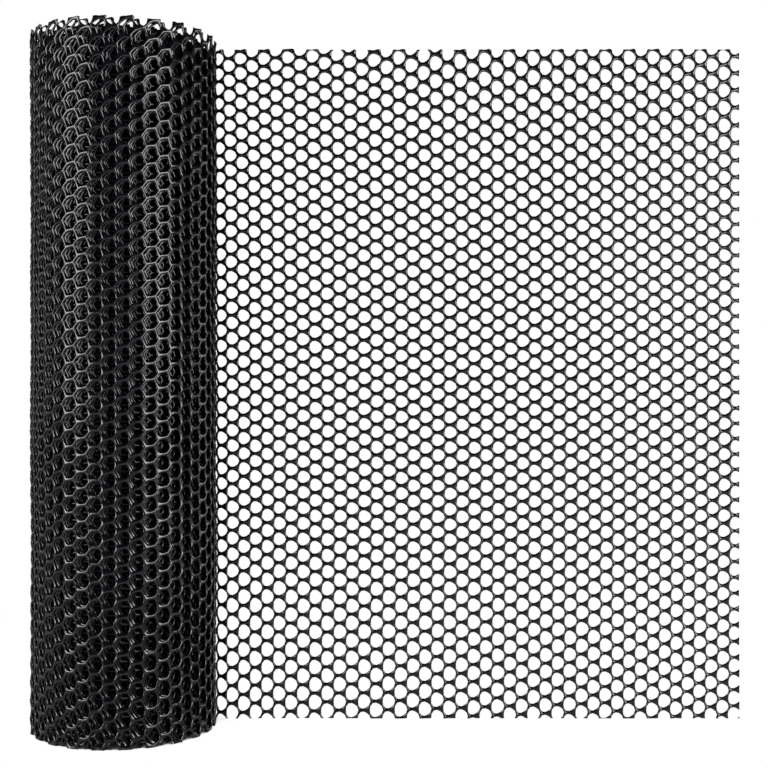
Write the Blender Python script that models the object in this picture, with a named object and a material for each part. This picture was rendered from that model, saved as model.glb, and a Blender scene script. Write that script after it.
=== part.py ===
"""Bird netting roll: one stiff black plastic net, wound on itself and stood on end, its loose end open.

The wound turns are one hollow roll with the step where the outermost turn leaves it, and the loose end is
the same net carried on as a single thin sheet. Metres, +Z up, origin at the middle of the base.
"""

import math

import bmesh
import bpy
from mathutils import Vector

# Driving dimensions of the net
NET_WIDTH = 0.400  # across the net, which is the height of the roll as it stands
NET_LENGTH = 3.048  # along the net, wound turns and loose end together
NET_THICKNESS = 0.0015
TURN_PITCH = 0.0022  # how much each turn adds to the radius

# The way the net leaves the roll, measured from the roll's axis
LEAVING_RADIUS = 0.0542  # middle of the net where the outermost turn comes off
LEAVING_ANGLE = math.radians(24.0)  # at the back right, counted from +X towards +Y
BEND_RADIUS = 0.009  # the bend that turns the loose end to run along X
FLAT_DEPTH = 0.0165  # the straight stretch lies this far behind the axis
LOOSE_REACH = 0.364  # the cut end lies this far to the right of the axis

# Facets
TURN_STEPS = 72  # sides of one full turn
BEND_STEPS = 10  # sides of the bend

# Points of the bend, all following from the dimensions above
BEND_SWEEP = math.pi / 2 - LEAVING_ANGLE
LEAVING_POINT = LEAVING_RADIUS * Vector((math.cos(LEAVING_ANGLE), math.sin(LEAVING_ANGLE)))
BEND_DROP = BEND_RADIUS * (1 - math.cos(BEND_SWEEP))
TANGENT_RUN = (LEAVING_POINT.y - FLAT_DEPTH - BEND_DROP) / math.sin(BEND_SWEEP)
BEND_CENTRE_X = LEAVING_POINT.x + TANGENT_RUN * math.cos(BEND_SWEEP) + BEND_RADIUS * math.sin(BEND_SWEEP)
BEND_CENTRE = Vector((BEND_CENTRE_X, FLAT_DEPTH + BEND_RADIUS))
LOOSE_LENGTH = TANGENT_RUN + BEND_RADIUS * BEND_SWEEP + LOOSE_REACH - BEND_CENTRE_X


def wound_angle():
    """Angle wound by the length of net that the loose end leaves over."""
    wound_length = NET_LENGTH - LOOSE_LENGTH
    core_radius = math.sqrt(LEAVING_RADIUS**2 - TURN_PITCH * wound_length / math.pi)
    return 2 * math.pi * (LEAVING_RADIUS - core_radius) / TURN_PITCH


def spiral_side(start, end, offset):
    """Points on one face of the wound net, offset outwards from its middle, between two wound angles."""
    steps = round(abs(end - start) / (2 * math.pi) * TURN_STEPS)
    points = []
    for step in range(steps + 1):
        angle = start + (end - start) * step / steps
        radius = LEAVING_RADIUS - TURN_PITCH * angle / (2 * math.pi) + offset
        direction = Vector((math.cos(LEAVING_ANGLE + angle), math.sin(LEAVING_ANGLE + angle)))
        points.append(radius * direction)
    return points


def loose_side(offset):
    """Points on one face of the loose end, offset backwards from its middle, out to the cut end."""
    radius = BEND_RADIUS - offset
    points = []
    for step in range(BEND_STEPS + 1):
        angle = BEND_SWEEP * (1 - step / BEND_STEPS)
        points.append(BEND_CENTRE - radius * Vector((math.sin(angle), math.cos(angle))))
    points.append(Vector((LOOSE_REACH, FLAT_DEPTH + offset)))
    return points


def outer_outline():
    """The notch beside the roll, out along the front of the loose end, back, and once round the roll."""
    half = NET_THICKNESS / 2
    notch = LEAVING_POINT * (1 - half / LEAVING_RADIUS)
    back = list(reversed(loose_side(half)))
    return [notch] + loose_side(-half) + back + spiral_side(0, 2 * math.pi, half)


def core_outline():
    """The inside of the innermost turn, with the step of the net's inner end."""
    end = wound_angle()
    return spiral_side(end - 2 * math.pi, end, -NET_THICKNESS / 2)


def add_loop(mesh, outline):
    """A closed loop of edges through the outline's points, on the base plane."""
    corners = [mesh.verts.new(point.to_3d()) for point in outline]
    return [mesh.edges.new(pair) for pair in zip(corners, corners[1:] + corners[:1])]


def netting_mesh():
    """The plan of the net between its two outlines, raised by the width of the net."""
    mesh = bmesh.new()
    loops = add_loop(mesh, outer_outline()) + add_loop(mesh, core_outline())
    bmesh.ops.triangle_fill(mesh, edges=loops, use_beauty=True)
    raised = bmesh.ops.extrude_face_region(mesh, geom=mesh.faces[:])
    top = [item for item in raised["geom"] if isinstance(item, bmesh.types.BMVert)]
    bmesh.ops.translate(mesh, verts=top, vec=(0, 0, NET_WIDTH))
    bmesh.ops.recalc_face_normals(mesh, faces=mesh.faces[:])
    return mesh


def centre_on_base(mesh):
    """Move the mesh so that the origin is the middle of its base."""
    across = [vert.co.x for vert in mesh.verts]
    depth = [vert.co.y for vert in mesh.verts]
    middle = Vector((min(across) + max(across), min(depth) + max(depth), 0)) / 2
    bmesh.ops.translate(mesh, verts=mesh.verts[:], vec=-middle)


def black_plastic():
    """Near-black extruded polyethylene with a soft gloss."""
    material = bpy.data.materials.new("black_polyethylene")
    material.use_nodes = True
    shader = material.node_tree.nodes["Principled BSDF"]
    shader.inputs["Base Color"].default_value = (0.009, 0.009, 0.010, 1)
    shader.inputs["Roughness"].default_value = 0.35
    shader.inputs["Metallic"].default_value = 0
    return material


def add_netting():
    """The whole net as one object."""
    mesh = netting_mesh()
    centre_on_base(mesh)
    data = bpy.data.meshes.new("netting")
    mesh.to_mesh(data)
    mesh.free()
    data.shade_smooth()
    data.set_sharp_from_angle(angle=math.radians(30))
    data.materials.append(black_plastic())
    bpy.context.scene.collection.objects.link(bpy.data.objects.new("netting", data))


for existing in list(bpy.data.objects):
    bpy.data.objects.remove(existing)
add_netting()
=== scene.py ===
"""A roll of black hexagonal plastic bird netting, stood on end with its cut end drawn out to the right."""

import math

import bmesh
import bpy
from mathutils import Matrix, Vector, noise


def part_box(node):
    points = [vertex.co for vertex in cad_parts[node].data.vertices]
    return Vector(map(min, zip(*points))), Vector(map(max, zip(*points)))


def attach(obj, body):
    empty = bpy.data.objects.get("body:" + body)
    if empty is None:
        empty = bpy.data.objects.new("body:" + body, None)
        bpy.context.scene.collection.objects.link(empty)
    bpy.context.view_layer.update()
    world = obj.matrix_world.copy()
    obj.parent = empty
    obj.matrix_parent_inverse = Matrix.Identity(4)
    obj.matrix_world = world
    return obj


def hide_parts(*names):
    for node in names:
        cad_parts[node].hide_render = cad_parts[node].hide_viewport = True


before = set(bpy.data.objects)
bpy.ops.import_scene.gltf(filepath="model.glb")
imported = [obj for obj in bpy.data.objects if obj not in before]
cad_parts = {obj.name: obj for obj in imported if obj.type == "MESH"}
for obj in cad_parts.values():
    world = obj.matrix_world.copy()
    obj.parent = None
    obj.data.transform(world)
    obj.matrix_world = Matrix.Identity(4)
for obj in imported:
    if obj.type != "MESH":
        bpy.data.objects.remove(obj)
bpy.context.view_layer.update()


# The loose end. Polyethylene net extruded in one piece, strands and joints together, and drawn while warm
# until its holes open into rounded hexagons. It comes off the back of the roll, bends once to run along X,
# and stands on its lower cut edge.

MM = 0.001

# the way the net lies, in metres, measured from the roll's axis
NET_LENGTH = 3.048
NET_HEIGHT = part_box("netting")[1][2]
TURN_PITCH = 0.0022
LEAVING_RADIUS = 0.0542
LEAVING_ANGLE = math.radians(24)
BEND_RADIUS = 0.009
FLAT_DEPTH = 0.0165
LOOSE_REACH = 0.364
BEND_SWEEP = math.pi / 2 - LEAVING_ANGLE
LEAVING_POINT = LEAVING_RADIUS * Vector((math.cos(LEAVING_ANGLE), math.sin(LEAVING_ANGLE)))
BEND_DROP = BEND_RADIUS * (1 - math.cos(BEND_SWEEP))
STRAIGHT_RUN = (LEAVING_POINT.y - FLAT_DEPTH - BEND_DROP) / math.sin(BEND_SWEEP)
STRAIGHT = Vector((math.cos(BEND_SWEEP), -math.sin(BEND_SWEEP)))
BEND_START = LEAVING_POINT + STRAIGHT_RUN * STRAIGHT
BEND_CENTRE = Vector((BEND_START.x + BEND_RADIUS * math.sin(BEND_SWEEP), FLAT_DEPTH + BEND_RADIUS))
BEND_LENGTH = BEND_RADIUS * BEND_SWEEP
FLAT_LENGTH = LOOSE_REACH - BEND_CENTRE.x
LOOSE_LENGTH = STRAIGHT_RUN + BEND_LENGTH + FLAT_LENGTH
AXIS = Vector((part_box("netting")[1][0] - LOOSE_REACH, -0.00054))


def wound_length(turns):
    """Length of net in this many turns, counted from the outside."""
    return 2 * math.pi * turns * (LEAVING_RADIUS - TURN_PITCH * turns / 2)


def turns_at(along):
    """How many times the net has gone round the roll by this distance from its cut end."""
    radius = math.sqrt(LEAVING_RADIUS**2 - TURN_PITCH * max(along - LOOSE_LENGTH, 0) / math.pi)
    return (LEAVING_RADIUS - radius) / TURN_PITCH


def lay(along, outward):
    """Where a point of the net goes, seen from above, by its distance from the cut end and off the middle."""
    if along < FLAT_LENGTH:
        return Vector((LOOSE_REACH - along, FLAT_DEPTH + outward))
    if along < FLAT_LENGTH + BEND_LENGTH:
        angle = (along - FLAT_LENGTH) / BEND_RADIUS
        return BEND_CENTRE - (BEND_RADIUS - outward) * Vector((math.sin(angle), math.cos(angle)))
    if along < LOOSE_LENGTH:
        return LEAVING_POINT + (LOOSE_LENGTH - along) * STRAIGHT + outward * LEAVING_POINT.normalized()
    turns = turns_at(along)
    angle = LEAVING_ANGLE + 2 * math.pi * turns
    return (LEAVING_RADIUS - TURN_PITCH * turns + outward) * Vector((math.cos(angle), math.sin(angle)))


# one cell of the net, in millimetres
COLUMN_PITCH = 7.27
ROW_PITCH = 9.161
CELL_SIDE = COLUMN_PITCH / 1.5
HOLE_RADIUS = 3.58
HOLE_LOBES = 0.065  # how far the hole is from a circle towards a rounded triangle, as a share of its radius
PLAIN_HOLE = 1.06  # a hole with six sides is this much wider than a rounded one, to leave as much net
RIDGE_HALF = 0.8  # half the thickness of a strand, along its ridge
RIDGE_POWER = 1.6  # how the strand falls from its ridge to its edge: 1 is straight and 2 is round
SHOULDER = 0.6  # how far from ridge to edge the ring of points between them lies
WEB_HALF = 0.5  # half the thickness of the thin web at every other joint
LEAN = 0.6  # how far the ridge of a joint leans upwards or downwards
OVER = 0.1  # how far the strands of one direction stand out towards the outside of the roll
UNDER = 0.42  # how far the ridges of the other direction lie back from it
UNDER_EDGE = 0.3
UNDER_THINNER = 0.12
FIRST_INSET = CELL_SIDE / 9  # only makes the rings, which are then moved to where they belong
SAME_POINT = 0.01  # points of neighbouring cells nearer than this are one
SAME_EDGE = 0.0005

# where the whole net's cells start, just outside its lower edge and its cut end
FIRST_ROW = -3.13
ROWS = 46
FIRST_COLUMN = -1.76


def whole(mesh):
    """Everything in a mesh, for the operators that ask for it."""
    return mesh.verts[:] + mesh.edges[:] + mesh.faces[:]


def repeated(mesh, step, times):
    """Give the mesh this many more copies of itself, each one step further on."""
    first = whole(mesh)
    for time in range(1, times + 1):
        copy = bmesh.ops.duplicate(mesh, geom=first)["geom"]
        moved = [part for part in copy if isinstance(part, bmesh.types.BMVert)]
        bmesh.ops.translate(mesh, verts=moved, vec=Vector(step) * time)


def twelfth(place):
    """Which twelfth of a turn a point of the cell lies nearest to, seen from the middle of its hole."""
    return round(math.atan2(place.y, place.x) / (math.pi / 6)) % 12


def one_cell(rounded):
    """Half of every strand round one hole: two rings of 12 faces if rounded, and one ring of 6 if not."""
    mesh = bmesh.new()
    half = mesh.verts.layers.float.new("half")
    spoke = mesh.verts.layers.float_vector.new("spoke")
    lean = mesh.verts.layers.float.new("lean")
    lift = mesh.verts.layers.float.new("lift")
    bmesh.ops.create_circle(mesh, cap_ends=True, segments=6, radius=CELL_SIDE)
    bmesh.ops.rotate(mesh, verts=mesh.verts[:], matrix=Matrix.Rotation(math.pi / 2, 3, "Z"))
    bmesh.ops.scale(mesh, verts=mesh.verts[:], vec=(1, ROW_PITCH / (math.sqrt(3) * CELL_SIDE), 1))
    mesh.faces.ensure_lookup_table()
    hole = mesh.faces[0]
    for reach in (SHOULDER, 1) if rounded else (1,):
        bmesh.ops.inset_individual(mesh, faces=[hole], thickness=FIRST_INSET)
        for vert in hole.verts:
            vert[half] = reach
    bmesh.ops.delete(mesh, geom=[hole], context="FACES_ONLY")
    if rounded:
        around = [edge for edge in mesh.edges if edge.verts[0][half] == edge.verts[1][half]]
        bmesh.ops.subdivide_edges(mesh, edges=around, cuts=1, use_grid_fill=True)
    ridges = {twelfth(vert.co): vert.co.copy() for vert in mesh.verts if vert[half] == 0}
    for vert in mesh.verts:
        place = twelfth(vert.co)
        ridge = ridges[place]
        angle = math.atan2(ridge.y, ridge.x)
        radius = HOLE_RADIUS * (1 + HOLE_LOBES * math.cos(3 * angle)) * (1 if rounded else PLAIN_HOLE)
        reach = vert[half]
        vert.co = ridge.lerp(radius * ridge.normalized(), reach)
        vert[spoke] = radius * reach * ridge.normalized()
        vert[half] = RIDGE_HALF * (1 - reach**RIDGE_POWER)
        if rounded and place % 2 == 0:
            web = place % 4 == 2
            vert[half] = WEB_HALF if web and reach == 0 else vert[half]
            vert[lean] = LEAN * (1 - reach**2) * (1 if web else -1)
        if place in (5, 11):
            vert[lift] = UNDER_EDGE if reach > 0 else UNDER
            vert[half] -= 0 if reach > 0 else UNDER_THINNER
        if place in (1, 3, 7, 9):
            vert[lift] = -OVER
    return mesh


# how the made net was stretched, in millimetres of shift
LOWER_BAND = 91  # the cells below this height are drawn taller
LOWER_BLEND = 12
LOWER_DRAW = 0.116
LOWER_SKEW = 0.065
LOWER_WIDER = 0.045  # and their holes wider, by this share
UPPER_BAND = 322  # and the cells above this one are drawn taller too
UPPER_BLEND = 8
UPPER_DRAW = 0.069
UPPER_SKEW = 0.123
UPPER_EVEN = 0.78  # where the side is past this, the skew grows no more
MIDDLE_HEIGHT = 200
MIDDLE_ALONG = 160  # the side goes from -1 at the cut end, through 0 here, to about 1 at the roll
ALONG_MOST = 330
ALONG_GONE = 430  # and has halved again this far from the cut end, on the roll's outermost turn
ALONG_BLEND = 25
SAG = 1.34
SAG_MIDDLE = -0.17
BOW = 3.19
BOW_SKEW = 0.84
TILT = 0.26
TOP_BOW = 1.24
RIM_PULL = 4.5  # the top edge was pulled up about its middle
RIM_PULL_AT = 150
RIM_PULL_WIDTH = 60
RIM_PULL_BAND = 20
CORNER_DROP = 0.06  # and its corner at the cut end hangs down
CORNER = 85
CORNER_BLEND = 12
CORNER_BAND = 30
JITTER = 0.35
JITTER_PATCH = 11


def softly(value, width):
    """Zero below zero and value above it, rounded over the width."""
    return width * math.log1p(math.exp(value / width))


def past(value, start, width):
    """A smooth step from 0 well before the start to 1 well past it."""
    return 1 / (1 + math.exp((start - value) / width))


def patchy(along, height, patch, sample):
    """Noise from -1 to 1 in patches of this size; the sample only picks one of many alike."""
    return noise.noise(Vector((along / patch, height / patch, sample)))


def stretched(along, height):
    """How far a cell of the loose end is drawn along the net and up it, as both edges stretch and it sags."""
    side = (min(along, ALONG_MOST) - MIDDLE_ALONG) / MIDDLE_ALONG * (1 - past(along, ALONG_GONE, ALONG_BLEND))
    level = (height - MIDDLE_HEIGHT) / MIDDLE_HEIGHT
    lower = (LOWER_DRAW + LOWER_SKEW * side) * softly(LOWER_BAND - height, LOWER_BLEND)
    upper = (UPPER_DRAW - UPPER_SKEW * min(side, UPPER_EVEN)) * softly(height - UPPER_BAND, UPPER_BLEND)
    sag = SAG * (side - SAG_MIDDLE) ** 2
    below = NET_HEIGHT / MM - height
    pull = RIM_PULL * math.exp(-((along - RIM_PULL_AT) / RIM_PULL_WIDTH) ** 2 - (below / RIM_PULL_BAND) ** 2)
    drop = CORNER_DROP * softly(CORNER - along, CORNER_BLEND) * math.exp(-abs(below) / CORNER_BAND)
    bow = BOW * side**2 + BOW_SKEW * side * level + TILT * level + TOP_BOW * level**2
    jitter = [JITTER * patchy(along, height, JITTER_PATCH, sample) for sample in (3.1, 7.7)]
    return bow + jitter[0], sag + upper - lower + pull - drop + jitter[1]


# how the turns lie on each other, in millimetres of shift
HOLES_ROUND = 21.88  # pairs of columns in each outer turn, so that its holes lie nearly over the next turn's
START_SHIFT = -8.7
START_BLEND = 20
DROP = -0.6
DRIFT = 0.8
DRIFT_LENGTH = 140
SLIP = 0.7  # how unevenly the holes of one turn lie beside those of the last
SLIP_HEIGHT = 90
SLIP_ROUND = 1.3  # how many patches of it a radian of the roll holds
RIM_SLIP = 5.4  # and how much further apart they are at the top and bottom rims
RIM_BAND = 14
RIM_FRONT = 0.6  # this share of it at the front of the roll
RIM_SIDES = 0.4  # and this much more at its left, and less at its right
DEEP_SLIP = 2.5  # and how much further with each turn under the third
CLIMB = 0.4
CLIMB_FOOT = 0.6  # a turn lies this much higher than the last at the foot, and lower towards the top
CLIMB_FALL = 270
CLIMB_LEAST = -0.45
OTHER_PATCHES = Vector((7, 0, 0))  # so that the climb isn't patchy in the same places as the slip


def nested(along):
    """How far the outer turns are drawn out along the net, so that each one's holes lie over the next's."""
    wound = max(along - LOOSE_LENGTH / MM, 0)
    turns = min(wound / (2 * COLUMN_PITCH * HOLES_ROUND), 3)
    return wound_length(turns) / MM - turns * 2 * COLUMN_PITCH * HOLES_ROUND


def slipped(along, height):
    """How far a cell of the roll is shifted along the net and up it, against the turn outside its own."""
    turns = turns_at(along * MM)
    angle = LEAVING_ANGLE + 2 * math.pi * turns
    about = Vector((SLIP_ROUND * math.cos(angle), SLIP_ROUND * math.sin(angle), height / SLIP_HEIGHT))
    depth = min(turns, 2)
    wound = past(along, LOOSE_LENGTH / MM, START_BLEND)
    drift = DROP + DRIFT * noise.noise(Vector((along / DRIFT_LENGTH, 0.3, 0.7)))
    rims = math.exp(-abs(NET_HEIGHT / MM - height) / RIM_BAND) + math.exp(-height / RIM_BAND)
    sideways = SLIP * noise.noise(about) + RIM_SLIP * rims * (RIM_FRONT - RIM_SIDES * math.cos(angle))
    sideways = depth * sideways + DEEP_SLIP * max(turns - 3, 0) + START_SHIFT * wound
    climb = max(CLIMB_FOOT - height / CLIMB_FALL, CLIMB_LEAST)
    climb += CLIMB * noise.noise(about + OTHER_PATCHES)
    return nested(along) + sideways, wound * drift + depth * climb


def flat_net(start, end, rounded):
    """The net between two distances from its cut end, flat and one face thick, in millimetres."""
    first = math.floor((start - nested(start)) / (2 * COLUMN_PITCH)) - 1
    last = math.ceil((end - nested(end)) / (2 * COLUMN_PITCH)) + 1
    mesh = one_cell(rounded)
    repeated(mesh, (0, ROW_PITCH, 0), ROWS - 1)
    repeated(mesh, (-COLUMN_PITCH, ROW_PITCH / 2, 0), 1)
    repeated(mesh, (-2 * COLUMN_PITCH, 0, 0), last - first)
    corner = (-first * 2 * COLUMN_PITCH - FIRST_COLUMN, FIRST_ROW, 0)
    bmesh.ops.translate(mesh, verts=mesh.verts[:], vec=corner)
    bmesh.ops.remove_doubles(mesh, verts=mesh.verts[:], dist=SAME_POINT)
    spoke = mesh.verts.layers.float_vector["spoke"]
    for vert in mesh.verts:
        vert.co += LOWER_WIDER * (1 - past(vert.co.y, LOWER_BAND, LOWER_BLEND)) * vert[spoke]
        along, height = -vert.co.x, vert.co.y
        drawn = Vector(stretched(along, height)) + Vector(slipped(along, height))
        vert.co = (-along - drawn.x, height + drawn.y, 0)
    return mesh


def cut(mesh, point, normal):
    """Cut the net along a line and drop what lies beyond it."""
    bmesh.ops.bisect_plane(mesh, geom=whole(mesh), plane_co=point, plane_no=normal, clear_outer=True)


def filled_out(mesh):
    """Give the flat net its thickness on both sides and close the strands where they were cut."""
    half = mesh.verts.layers.float["half"]
    lean = mesh.verts.layers.float["lean"]
    lift = mesh.verts.layers.float["lift"]
    copy = bmesh.ops.duplicate(mesh, geom=whole(mesh))["geom"]
    behind = {part for part in copy if isinstance(part, bmesh.types.BMVert)}
    bmesh.ops.reverse_faces(mesh, faces=[part for part in copy if isinstance(part, bmesh.types.BMFace)])
    for vert in mesh.verts:
        side = -1 if vert in behind else 1
        vert.co += Vector((0, side * vert[lean], vert[lift] + side * vert[half]))
    bmesh.ops.remove_doubles(mesh, verts=mesh.verts[:], dist=SAME_EDGE)
    open_edges = [edge for edge in mesh.edges if edge.is_boundary]
    bmesh.ops.holes_fill(mesh, edges=open_edges, sides=0)


# how far the laid net is from even, in metres
LOOSE_BULGE = 0.0009
LOOSE_PATCH = 0.06
LOOSE_FADE = 0.04
WOUND_BULGE = 0.0007
WOUND_PATCH = 0.07
SMALL_BULGE = 0.0002
SMALL_PATCH = 0.02
FIRST_FADE = 0.15  # the first turn takes this share of a turn to become as uneven as the rest
CLOSER = 0.0012  # how much closer than the pitch the second turn and the third lie to the one outside them
CLOSER_FROM = (0.95, 1.95)
CLOSER_OVER = 0.1
LIFTED = 0.0006  # how far a turn stands off the floor at most
LIFTED_LENGTH = 0.09
RAG_LENGTH = 0.004  # about how often one cut strand at a rim stands further out than the next
RAG_HEIGHT = 0.2
RAGGED_TOP = 0.0018
TOP_BAND = 0.01
RAGGED_FOOT = 0.004
FOOT_BAND = 0.006
INNER_FOOT = 0.0005  # how much higher the feet of all turns but the first stand
INNER_OVER = 0.05


def loose_unevenness(along, height):
    """How far the loose end bulges backwards at a point."""
    fade = min((LOOSE_LENGTH - along) / LOOSE_FADE, 1)
    return LOOSE_BULGE * fade * patchy(along, height, LOOSE_PATCH, 5.5)


def wound_unevenness(along, height):
    """How far a turn stands outwards, and how far it or its ragged rims have slipped up, at a point."""
    turns = turns_at(along)
    angle = 2 * math.pi * turns
    wound = min(turns / FIRST_FADE, 1)
    bulge = WOUND_BULGE * noise.noise(Vector((math.cos(angle), math.sin(angle), height / WOUND_PATCH)))
    bulge += SMALL_BULGE * patchy(along, height, SMALL_PATCH, 1.5)
    closer = sum(min(max(turns - start, 0) / CLOSER_OVER, 1) for start in CLOSER_FROM)
    slip = LIFTED * (1 + noise.noise(Vector((along / LIFTED_LENGTH, 4.4, 2.2)))) / 2
    ragged = noise.noise(Vector((along / RAG_LENGTH, height / RAG_HEIGHT, 8.8)))
    slip += RAGGED_TOP * math.exp((height - NET_HEIGHT) / TOP_BAND) * (1 + ragged) / 2
    inner = min(max(turns - 1, 0) / INNER_OVER, 1)
    slip += math.exp(-height / FOOT_BAND) * (RAGGED_FOOT * max(ragged, 0) - LIFTED + INNER_FOOT * inner)
    return wound * bulge + CLOSER * closer, wound * slip


def linear(code):
    """A colour from its sRGB hex code."""
    parts = [int(code[place:place + 2], 16) / 255 for place in (1, 3, 5)]
    return [part / 12.92 if part <= 0.04045 else ((part + 0.055) / 1.055) ** 2.4 for part in parts] + [1]


def add_node(tree, kind, settings, links):
    """One shader node with its settings, and its inputs linked or set."""
    node = tree.nodes.new(kind)
    for setting, value in settings.items():
        setattr(node, setting, value)
    for socket, value in links.items():
        if isinstance(value, bpy.types.NodeSocket):
            tree.links.new(value, node.inputs[socket])
        else:
            node.inputs[socket].default_value = value
    return node


# black polyethylene, extruded and drawn: nearly black all through, with a wet-looking skin that throws one
# thin bright line along each ridge, broken where the skin was smeared by the die and pitted as it cooled
SMEAR = 4 * MM
SMEAR_GLOSS = (0.04, 0.13)
PIT = 0.7 * MM  # the real pits are about a fifth of this, too fine to show
PIT_DEPTH = 0.06 * MM
PIT_SHARE = 0.25
polyethylene = bpy.data.materials.new("black_polyethylene")
polyethylene.use_nodes = True
tree = polyethylene.node_tree
shader = tree.nodes["Principled BSDF"]
shader.inputs["Base Color"].default_value = linear("#0b080d")
shader.inputs["IOR"].default_value = 1.5
place = add_node(tree, "ShaderNodeTexCoord", {}, {}).outputs["Object"]
smears = add_node(tree, "ShaderNodeTexNoise", {}, {"Vector": place, "Scale": 1 / SMEAR, "Detail": 3})
spread = {"From Min": 0.3, "From Max": 0.7, "To Min": SMEAR_GLOSS[0], "To Max": SMEAR_GLOSS[1]}
gloss = add_node(tree, "ShaderNodeMapRange", {}, {"Value": smears.outputs["Fac"], **spread})
tree.links.new(gloss.outputs["Result"], shader.inputs["Roughness"])
pits = add_node(tree, "ShaderNodeTexNoise", {}, {"Vector": place, "Scale": 1 / PIT, "Detail": 2})
depth = {"Strength": PIT_SHARE, "Distance": PIT_DEPTH}
skin = add_node(tree, "ShaderNodeBump", {}, {"Height": pits.outputs["Fac"], **depth})
tree.links.new(skin.outputs["Normal"], shader.inputs["Normal"])

CREASE = math.radians(98)  # sharper edges than this are cut ends
PLAIN_CREASE = math.radians(125)


def netting(name, start, end, rounded, top, plastic):
    """A finished stretch of net between two distances from its cut end, in metres, laid where it goes."""
    mesh = flat_net(start / MM, end / MM, rounded)
    cut(mesh, (0, 0, 0), (0, -1, 0))
    cut(mesh, (0, top / MM, 0), (0, 1, 0))
    cut(mesh, (-start / MM, 0, 0), (1, 0, 0))
    cut(mesh, (-end / MM, 0, 0), (-1, 0, 0))
    bmesh.ops.dissolve_degenerate(mesh, edges=mesh.edges[:], dist=SAME_POINT)
    filled_out(mesh)
    for vert in mesh.verts:
        along, height, front = MM * Vector((-vert.co.x, vert.co.y, vert.co.z))
        if along < LOOSE_LENGTH:
            bulge, slip = loose_unevenness(along, height), 0
        else:
            bulge, slip = wound_unevenness(along, height)
        place = AXIS + lay(along, bulge - front)
        vert.co = (place.x, place.y, max(height + slip, 0))
    bmesh.ops.recalc_face_normals(mesh, faces=mesh.faces[:])
    data = bpy.data.meshes.new(name)
    mesh.to_mesh(data)
    mesh.free()
    data.shade_smooth()
    data.set_sharp_from_angle(angle=CREASE if rounded else PLAIN_CREASE)
    data.materials.append(plastic)
    piece = bpy.data.objects.new(name, data)
    bpy.context.scene.collection.objects.link(piece)
    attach(piece, "root")
    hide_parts("netting")


netting("loose_end", 0, LOOSE_LENGTH, True, NET_HEIGHT, polyethylene)


# The two outer turns. The same net carried on round the roll, held by nothing but its own stiffness. They
# are what shows of the roll: the outermost turn and, through its holes, the one under it, which lies a
# little to the right of it. The net was cut by hand, so the turns' edges don't quite meet at the rims.

OUTER_END = LOOSE_LENGTH + wound_length(1)
SECOND_END = LOOSE_LENGTH + wound_length(2)
SECOND_TOP = NET_HEIGHT - 1.4 * MM
netting("outer_turn", LOOSE_LENGTH, OUTER_END, True, NET_HEIGHT, polyethylene)
netting("second_turn", OUTER_END, SECOND_END, True, SECOND_TOP, polyethylene)


# The inner turns. The rest of the net, wound tight on the open core with no tube in it, in three stretches
# of equal length that meet end to end. Only glints of them show through the outer turns, so their holes
# have six plain sides. Their tops are cut lowest, so that light shows through the loops of the outer rim.

INNER_STRETCHES = 3
INNER_LENGTH = (NET_LENGTH - SECOND_END) / INNER_STRETCHES
INNER_TOP = NET_HEIGHT - 3.8 * MM

# the same polyethylene with its gloss cut to a quarter, a painted shade for the outer turns' shadow, so that
# it hardly glints
shaded_polyethylene = polyethylene.copy()
shaded_polyethylene.name = "shaded_copy_polyethylene"
shaded_polyethylene.node_tree.nodes["Principled BSDF"].inputs["Specular IOR Level"].default_value = 0.25

for number in range(INNER_STRETCHES):
    start = SECOND_END + number * INNER_LENGTH
    netting(f"inner_turns_{number + 1}", start, start + INNER_LENGTH, False, INNER_TOP, shaded_polyethylene)


# The camera. Level with the middle of the net and square to the loose end, a little nearer than arm's
# length, so that the roll's rims curve up at the top and down at the foot.

EYE_RIGHT = 0.1515
EYE_BACK = 0.765
eye = bpy.data.objects.new("camera", bpy.data.cameras.new("camera"))
eye.location = (AXIS.x + EYE_RIGHT, AXIS.y - EYE_BACK, NET_HEIGHT / 2)
eye.rotation_euler = (math.pi / 2, 0, 0)
eye.data.sensor_width = 36
eye.data.lens = 61.2
bpy.context.scene.collection.objects.link(eye)
bpy.context.scene.camera = eye


# The floor. A plain sheet of white board, large enough to fill every view. It shows as white as the wall
# behind it, and goes dark only under the roll: a painted shade, its glow dimmed where the turns shelter it.

FLOOR_HALF = 6
# the painted shade under the roll reaches this far, and is darkest where the net hides most of the board's
# sky
SHELTER_REACH = 0.04
SHELTERED = 0.15  # with this share of its sky open or less, the board is at its darkest
OPEN = 0.4
DARKEST = 0.02

# matt board: no gloss at all, and a glow that only the camera sees, so that the black net stays black; the
# camera doesn't see the lamps' light on it, which would outshine white and thin the strands before it
board = bpy.data.materials.new("matt_white_board")
board.use_nodes = True
tree = board.node_tree
shader = tree.nodes["Principled BSDF"]
shader.inputs["Specular IOR Level"].default_value = 0
shader.inputs["Roughness"].default_value = 0.9
shader.inputs["Emission Color"].default_value = linear("#ffffff")
path = add_node(tree, "ShaderNodeLightPath", {}, {})
unlit = {"Value": path.outputs["Is Camera Ray"], "To Min": linear("#e8e8e8")[0], "To Max": 0}
tint = add_node(tree, "ShaderNodeMapRange", {}, unlit)
tree.links.new(tint.outputs["Result"], shader.inputs["Base Color"])
# painted shade: how open the board's sky is near the net dims its glow under and inside the roll
shelter = add_node(tree, "ShaderNodeAmbientOcclusion", {"samples": 8}, {"Distance": SHELTER_REACH})
smooth = {"interpolation_type": "SMOOTHSTEP"}
opening = {"From Min": SHELTERED, "From Max": OPEN, "To Min": DARKEST, "To Max": 1}
glow_with_painted_shade = add_node(tree, "ShaderNodeMapRange", smooth, {"Value": shelter.outputs["AO"], **opening})
sources = {0: glow_with_painted_shade.outputs["Result"], 1: path.outputs["Is Camera Ray"]}
seen = add_node(tree, "ShaderNodeMath", {"operation": "MULTIPLY"}, sources)
tree.links.new(seen.outputs["Value"], shader.inputs["Emission Strength"])

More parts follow.
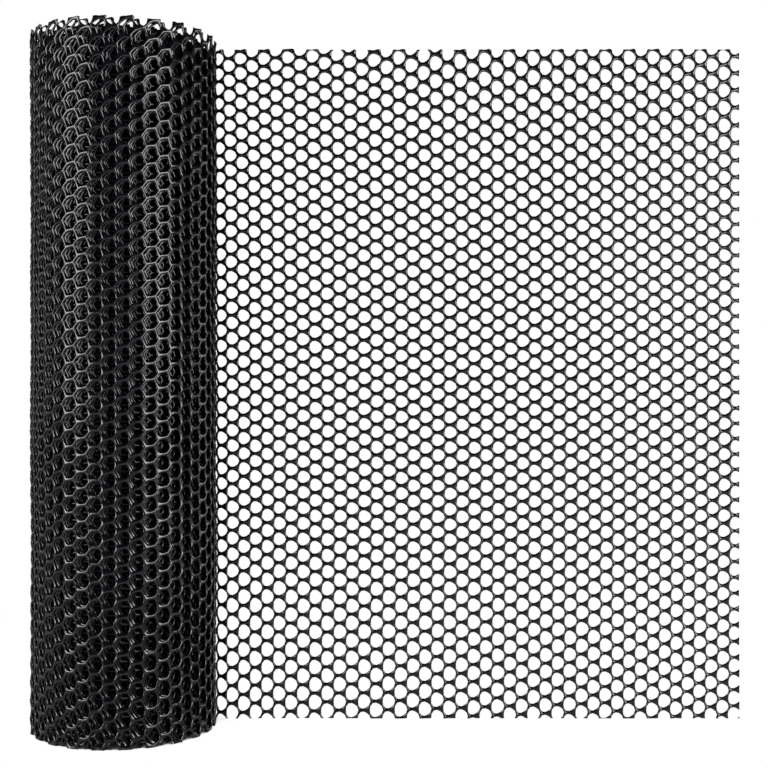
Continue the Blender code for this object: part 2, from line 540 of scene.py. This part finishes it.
mesh = bmesh.new()
bmesh.ops.create_grid(mesh, x_segments=1, y_segments=1, size=FLOOR_HALF)
data = bpy.data.meshes.new("floor")
mesh.to_mesh(data)
mesh.free()
data.materials.append(board)
floor = bpy.data.objects.new("floor", data)
bpy.context.scene.collection.objects.link(floor)


# The lights. Two wide softboxes, one to each side of the camera and a little above the roll's middle, draw
# the bright lines on the left and the right of the roll and leave its middle dark. Two dimmer walls of
# light, level with the roll's sides and behind them, pick out its edges.

LIGHT_DISTANCE = 1.3


def softbox(name, azimuth, height, size, power):
    """A rectangular light turned to the middle of the roll, by its angle from the front in degrees."""
    light = bpy.data.lights.new(name, "AREA")
    light.shape = "RECTANGLE"
    light.size, light.size_y = size
    light.energy = power
    turn = math.radians(azimuth)
    box = bpy.data.objects.new(name, light)
    across, back = LIGHT_DISTANCE * math.sin(turn), LIGHT_DISTANCE * math.cos(turn)
    box.location = (AXIS.x + across, AXIS.y - back, height)
    middle = Vector((AXIS.x, AXIS.y, NET_HEIGHT / 2))
    box.rotation_euler = (middle - box.location).to_track_quat("-Z", "Y").to_euler()
    bpy.context.scene.collection.objects.link(box)


softbox("left_box", azimuth=-50, height=0.43, size=(0.85, 0.6), power=16.5)
softbox("right_box", azimuth=51, height=0.42, size=(0.95, 0.6), power=18)
softbox("left_wall", azimuth=-105, height=0.1, size=(0.8, 1.0), power=2)
softbox("right_wall", azimuth=118, height=0.1, size=(0.8, 1.0), power=9)


# The room. White to the camera, as a paper sweep is. To the net it is a dim grey, so that the strands stay
# black between the lines that the lights draw on them.

ROOM_LIGHT = 0.05
room = bpy.data.worlds.new("white_room")
room.use_nodes = True
tree = room.node_tree
path = add_node(tree, "ShaderNodeLightPath", {}, {})
brightness = {"Value": path.outputs["Is Camera Ray"], "To Min": ROOM_LIGHT, "To Max": 1}
seen = add_node(tree, "ShaderNodeMapRange", {}, brightness)
tree.nodes["Background"].inputs["Color"].default_value = linear("#ffffff")
tree.links.new(seen.outputs["Result"], tree.nodes["Background"].inputs["Strength"])
bpy.context.scene.world = room
bpy.context.scene.view_settings.view_transform = "Standard"
